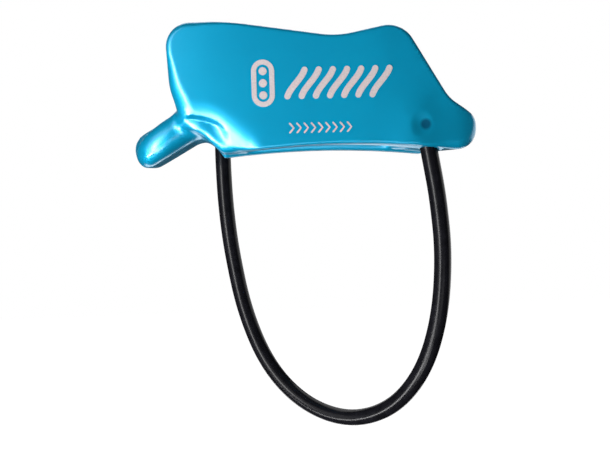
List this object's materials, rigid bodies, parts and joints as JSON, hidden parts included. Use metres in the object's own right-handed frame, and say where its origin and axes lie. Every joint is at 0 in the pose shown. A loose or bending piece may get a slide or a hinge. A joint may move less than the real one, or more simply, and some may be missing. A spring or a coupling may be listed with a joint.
{
  "type": "belay device",
  "caption": "Tubular climbing belay device: aluminium body with rope slots and a grooved braking tongue, and a flexible cable keeper loop.",
  "frame": {"origin": "middle of the underside of the middle wall, where the carabiner's bar bears", "axes": "+X along the rope slots towards the smooth nose, -X towards the grooved braking tongue, +Z away from the carabiner, Y across the device; the keeper loop hangs towards -Z"},
  "size_m": [0.0715, 0.04, 0.0876],
  "materials": {
    "anodised_body": "satin blue anodised",
    "cable_sheath": "satin black extruded plastic",
    "cable_wire": "galvanised steel wire rope",
    "ferrule_alloy": "plain, swaged",
    "laser_marking": "matte, etched through the anodising"
  },
  "bodies": {
    "device": {"device_body": "anodised_body", "ferrule_nose": "ferrule_alloy", "ferrule_tongue": "ferrule_alloy", "sheath_end_nose": "cable_sheath", "sheath_end_tongue": "cable_sheath", "wire_end_nose": "cable_wire", "wire_end_tongue": "cable_wire"},
    "keeper_loop": {"keeper_wire": "cable_wire", "keeper_sheath": "cable_sheath"}
  },
  "joints": [
    {"name": "keeper_flex", "type": "hinge", "parent": "device", "child": "keeper_loop", "pos_m": [0.0002, 0, -0.003], "axis": [0.8071, -0.5904, 0], "range_deg": [-45, 45], "stiffness_Nm_per_rad": 0.05}
  ]
}
